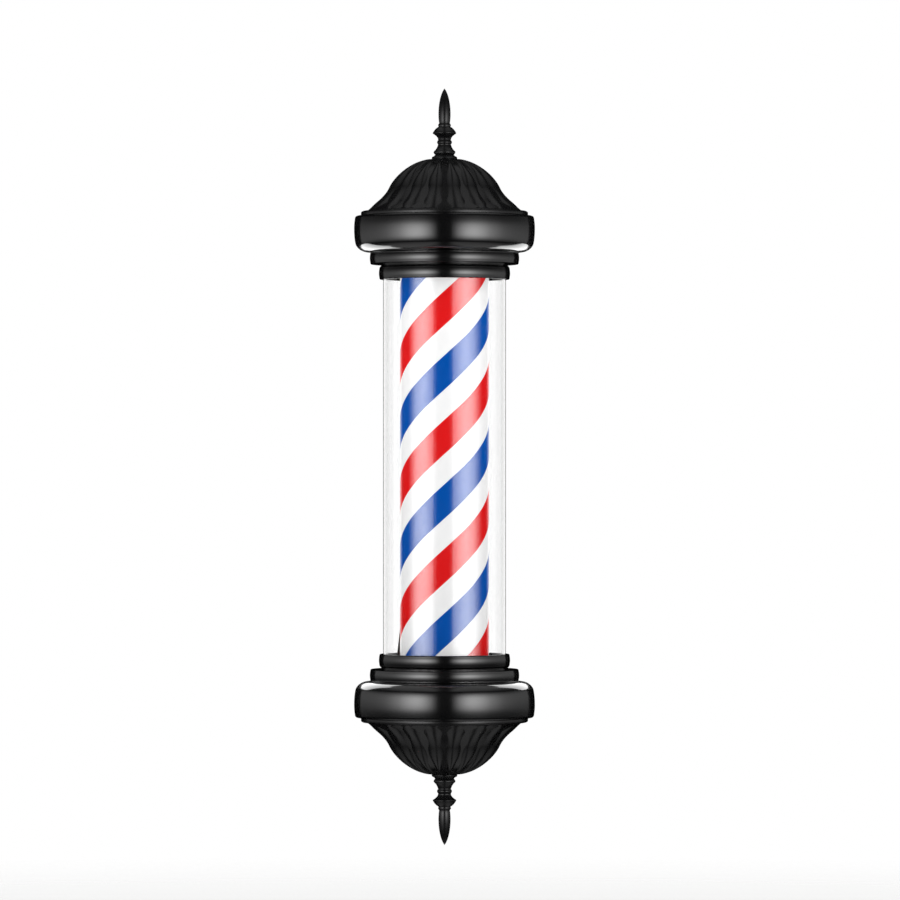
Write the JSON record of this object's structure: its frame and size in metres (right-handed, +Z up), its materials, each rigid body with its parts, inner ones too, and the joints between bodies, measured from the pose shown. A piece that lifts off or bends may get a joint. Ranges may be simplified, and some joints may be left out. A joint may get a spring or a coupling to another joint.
{
  "type": "barber pole light",
  "caption": "Wall-hung barber pole light: black turned caps with fluted domes and spear finials, a clear tube and a motor-turned drum with red, white and blue spiral stripes round a lamp.",
  "frame": {"origin": "centre of the four wall screw holes, on the wall plane, level with the middle of the pole", "axes": "+Z up along the pole, +Y into the wall, so the front of the pole faces -Y, +X to the viewer's right"},
  "size_m": [0.184, 0.242, 0.77],
  "materials": {
    "gloss_black_enamel": "high-gloss black enamel on spun and turned metal",
    "satin_black_powder_coat": "satin black powder coat on folded steel",
    "zinc_plated_steel": "bright zinc plating",
    "black_oxide_steel": "black oxide",
    "gasket_rubber": "soft black rubber",
    "clear_acrylic": "clear extruded acrylic",
    "opal_acrylic": "white opal acrylic, lit from inside",
    "printed_stripe_film": "film printed with red, white and blue spiral stripes",
    "white_nylon": "moulded white nylon",
    "natural_acetal": "moulded acetal",
    "turned_brass": "turned brass",
    "black_phenolic": "moulded phenolic",
    "nickel_plate": "nickel-plated thread",
    "white_bulb_plastic": "moulded white polycarbonate",
    "opal_bulb_globe": "opal polycarbonate diffuser",
    "black_lead_sheath": "flexible PVC sheath",
    "motor_steel": "drawn and plated steel",
    "copper_winding": "enamelled copper wire",
    "ferrite_magnet": "sintered ferrite",
    "terminal_polyamide": "moulded polyamide",
    "black_gland_nylon": "moulded black nylon"
  },
  "bodies": {
    "housing": {"top_finial": "gloss_black_enamel", "bottom_finial": "gloss_black_enamel", "top_finial_cup": "gloss_black_enamel", "bottom_finial_cup": "gloss_black_enamel", "top_dome": "gloss_black_enamel", "bottom_dome": "gloss_black_enamel", "top_band": "gloss_black_enamel", "bottom_band": "gloss_black_enamel", "top_step_ring": "gloss_black_enamel", "bottom_step_ring": "gloss_black_enamel", "top_collar": "gloss_black_enamel", "bottom_collar": "gloss_black_enamel", "top_arm": "satin_black_powder_coat", "bottom_arm": "satin_black_powder_coat", "top_wall_plate": "satin_black_powder_coat", "bottom_wall_plate": "satin_black_powder_coat", "top_tie_rod": "zinc_plated_steel", "bottom_tie_rod": "zinc_plated_steel", "top_tie_nuts": "zinc_plated_steel", "bottom_tie_nuts": "zinc_plated_steel", "top_strap": "zinc_plated_steel", "bottom_strap": "zinc_plated_steel", "top_cap_screws": "zinc_plated_steel", "bottom_cap_screws": "zinc_plated_steel", "top_arm_bolts": "zinc_plated_steel", "bottom_arm_bolts": "zinc_plated_steel", "top_arm_nuts": "zinc_plated_steel", "bottom_arm_nuts": "zinc_plated_steel", "lamp_plate": "zinc_plated_steel", "motor_plate": "zinc_plated_steel", "lamp_pipe": "zinc_plated_steel", "lamp_nuts": "zinc_plated_steel", "motor_screws": "zinc_plated_steel", "top_grub_screws": "black_oxide_steel", "bottom_grub_screws": "black_oxide_steel", "top_gasket": "gasket_rubber", "bottom_gasket": "gasket_rubber", "clear_tube": "clear_acrylic", "terminal_screws": "turned_brass", "lamp_holder": "black_phenolic", "bulb_screw_cap": "nickel_plate", "bulb_body": "white_bulb_plastic", "bulb_globe": "opal_bulb_globe", "lamp_lead": "black_lead_sheath", "motor_cover": "motor_steel", "motor_can": "motor_steel", "stator_coil": "copper_winding", "terminal_block": "terminal_polyamide", "cable_gland": "black_gland_nylon", "gland_locknut": "black_gland_nylon"},
    "drum": {"drum_tube": "opal_acrylic", "stripe_film": "printed_stripe_film", "drum_spider": "white_nylon", "drum_bush": "natural_acetal", "turntable": "white_nylon", "drive_hub": "turned_brass", "hub_grub_screw": "black_oxide_steel", "output_shaft": "motor_steel"},
    "idler": {"idler_gear": "natural_acetal"},
    "rotor": {"rotor": "ferrite_magnet"}
  },
  "joints": [
    {"name": "drum_spin", "type": "hinge", "parent": "housing", "child": "drum", "pos_m": [0, -0.15, 0], "axis": [0, 0, 1], "continuous": true},
    {"name": "idler_spin", "type": "hinge", "parent": "housing", "child": "idler", "pos_m": [0.015, -0.15, -0.229], "axis": [0, 0, 1], "continuous": true},
    {"name": "rotor_spin", "type": "hinge", "parent": "housing", "child": "rotor", "pos_m": [0, -0.15, -0.236], "axis": [0, 0, 1], "continuous": true}
  ],
  "couplings": [
    {"joint": "idler_spin", "follows": "drum_spin", "ratio": -3},
    {"joint": "rotor_spin", "follows": "drum_spin", "ratio": 9}
  ]
}
